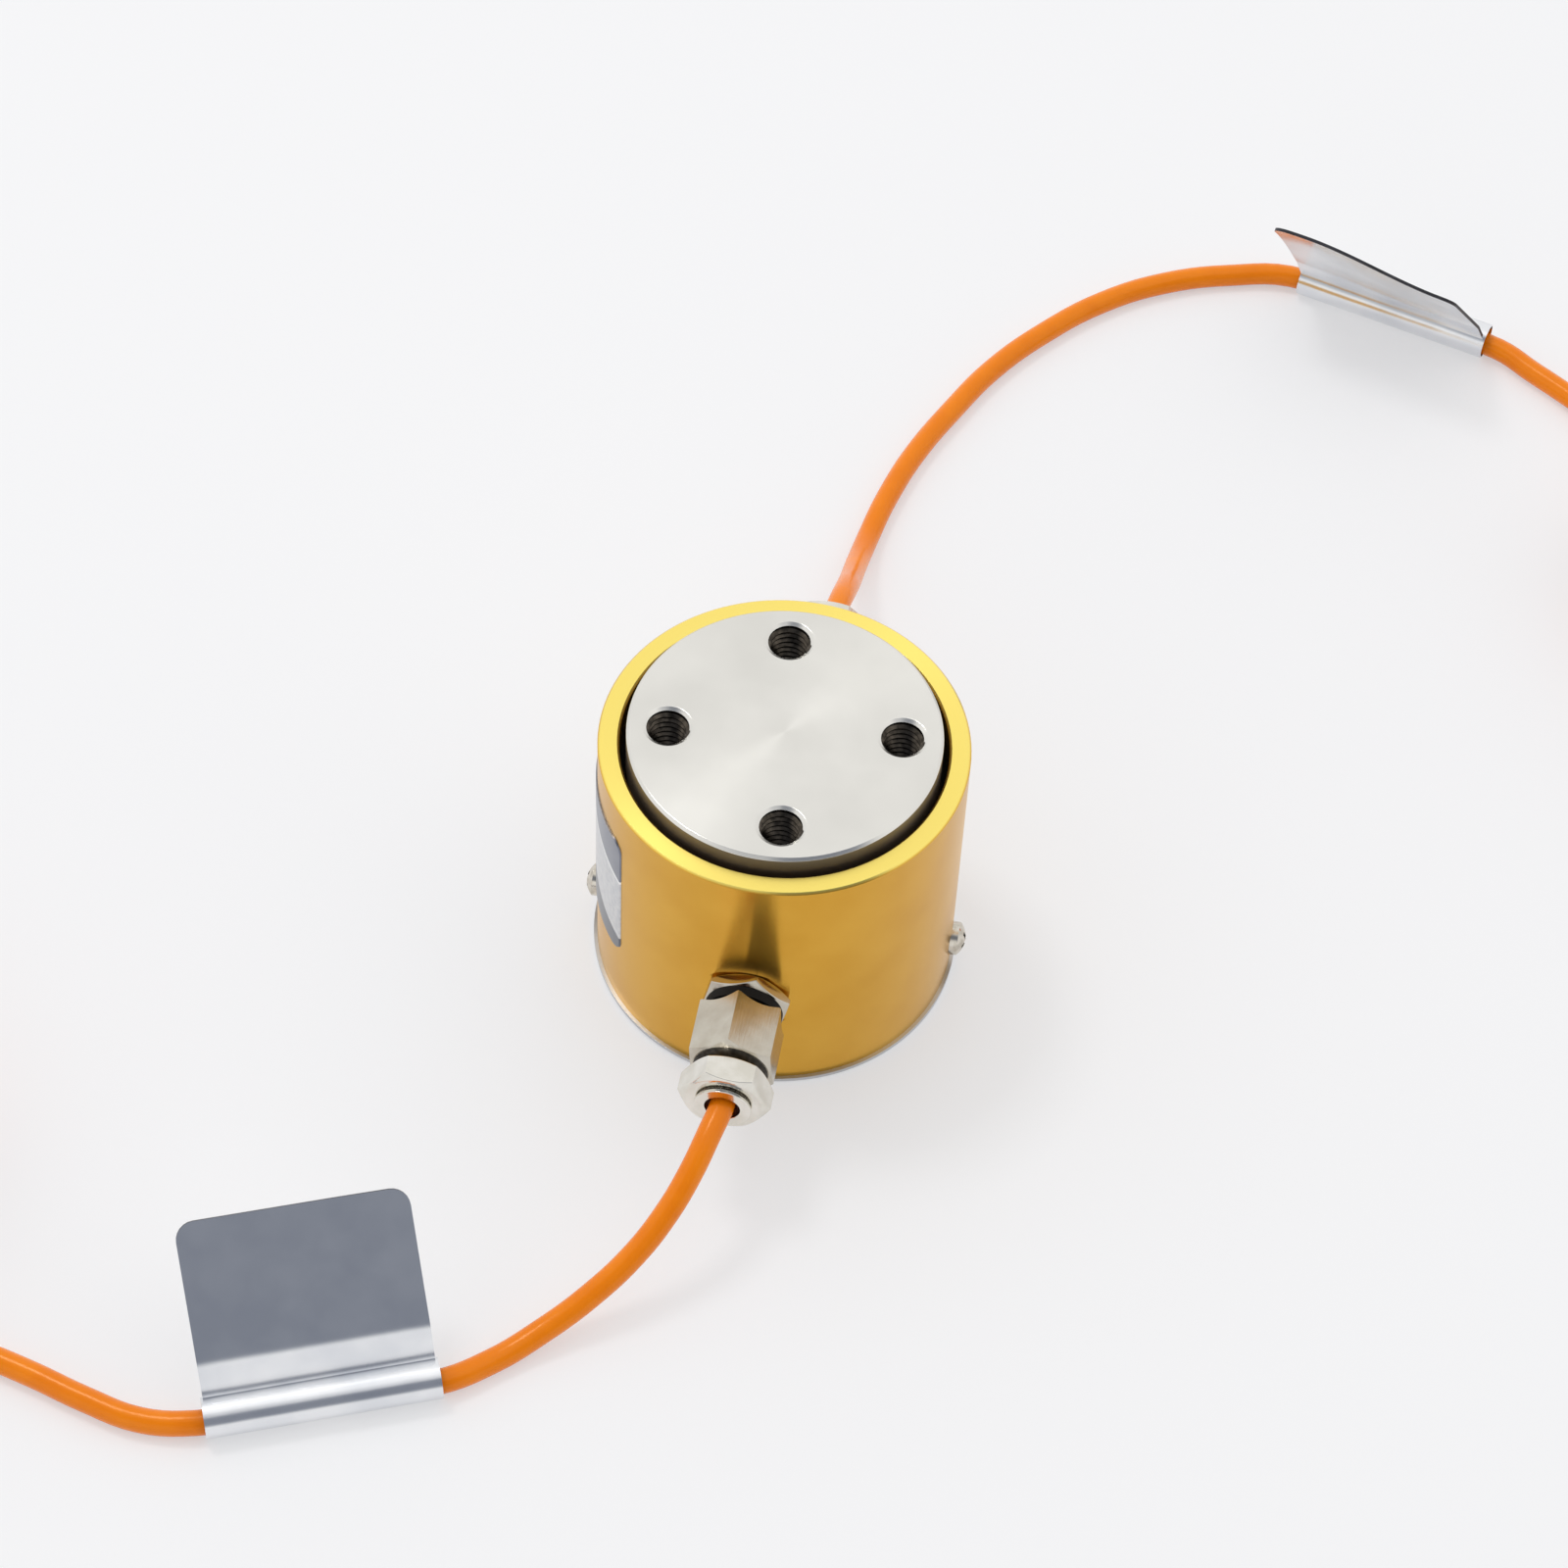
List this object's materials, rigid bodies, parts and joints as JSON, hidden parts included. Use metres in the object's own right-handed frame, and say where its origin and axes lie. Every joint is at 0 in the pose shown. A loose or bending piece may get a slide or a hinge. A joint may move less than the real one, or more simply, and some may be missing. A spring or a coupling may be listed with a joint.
{
  "type": "force torque sensor",
  "caption": "Gold cylindrical force torque sensor: steel flange in a sleeve, nickel glands front and rear, tagged orange cables with coiled ends.",
  "frame": {"origin": "centre of the underside of the base rim", "axes": "+Z out of the loaded flange along the sensor's axis, the glands look along -Y (front) and +Y (rear), the nameplate is on the -X side"},
  "size_m": [0.3144, 0.2385, 0.046],
  "materials": {
    "element_steel": "fine turned stainless steel",
    "base_steel": "fine turned stainless steel, darker",
    "black_steel": "black oxide",
    "gold_anodised": "gold anodised, satin",
    "screw_steel": "nickel plated steel",
    "plate_aluminium": "printed satin foil plate",
    "black_rubber": "matte",
    "silicone_rubber": "matte",
    "gauge_film": "amber film",
    "board_laminate": "solder mask",
    "copper_wire": "enamelled",
    "core_insulation": "smooth",
    "gland_nickel": "nickel plated brass",
    "cable_jacket": "satin polyurethane",
    "black_strap": "moulded nylon",
    "tag_film": "metallised polyester film",
    "shrink_sleeve": "heat-shrunk",
    "tinned_copper": "tinned"
  },
  "bodies": {
    "root": {"base_plate": "base_steel", "sensing_element": "element_steel", "element_screws": "black_steel", "housing_sleeve": "gold_anodised", "sleeve_screw_left": "screw_steel", "sleeve_screw_right": "screw_steel", "nameplate": "plate_aluminium", "base_o_ring": "black_rubber", "gap_seal": "black_rubber", "strain_gauge_left": "gauge_film", "strain_gauge_right": "gauge_film", "strain_gauge_front": "gauge_film", "strain_gauge_rear": "gauge_film", "front_terminal_board": "board_laminate", "rear_terminal_board": "board_laminate", "board_screws": "screw_steel", "gauge_leads": "copper_wire", "front_core_wires": "core_insulation", "rear_core_wires": "core_insulation", "front_gland_locknut": "gland_nickel", "front_gland_seal_ring": "black_rubber", "front_gland_body": "gland_nickel", "front_gland_grommet": "silicone_rubber", "front_gland_nut": "gland_nickel", "rear_gland_locknut": "gland_nickel", "rear_gland_seal_ring": "black_rubber", "rear_gland_body": "gland_nickel", "rear_gland_grommet": "silicone_rubber", "rear_gland_nut": "gland_nickel", "front_cable": "cable_jacket", "front_cable_coil": "cable_jacket", "front_cable_tail": "cable_jacket", "front_coil_straps": "black_strap", "front_cable_tag": "tag_film", "front_end_sleeve": "shrink_sleeve", "front_end_cores": "tinned_copper", "rear_cable": "cable_jacket", "rear_cable_coil": "cable_jacket", "rear_cable_tail": "cable_jacket", "rear_coil_straps": "black_strap", "rear_cable_tag": "tag_film", "rear_end_sleeve": "shrink_sleeve", "rear_end_cores": "tinned_copper"}
  },
  "joints": []
}
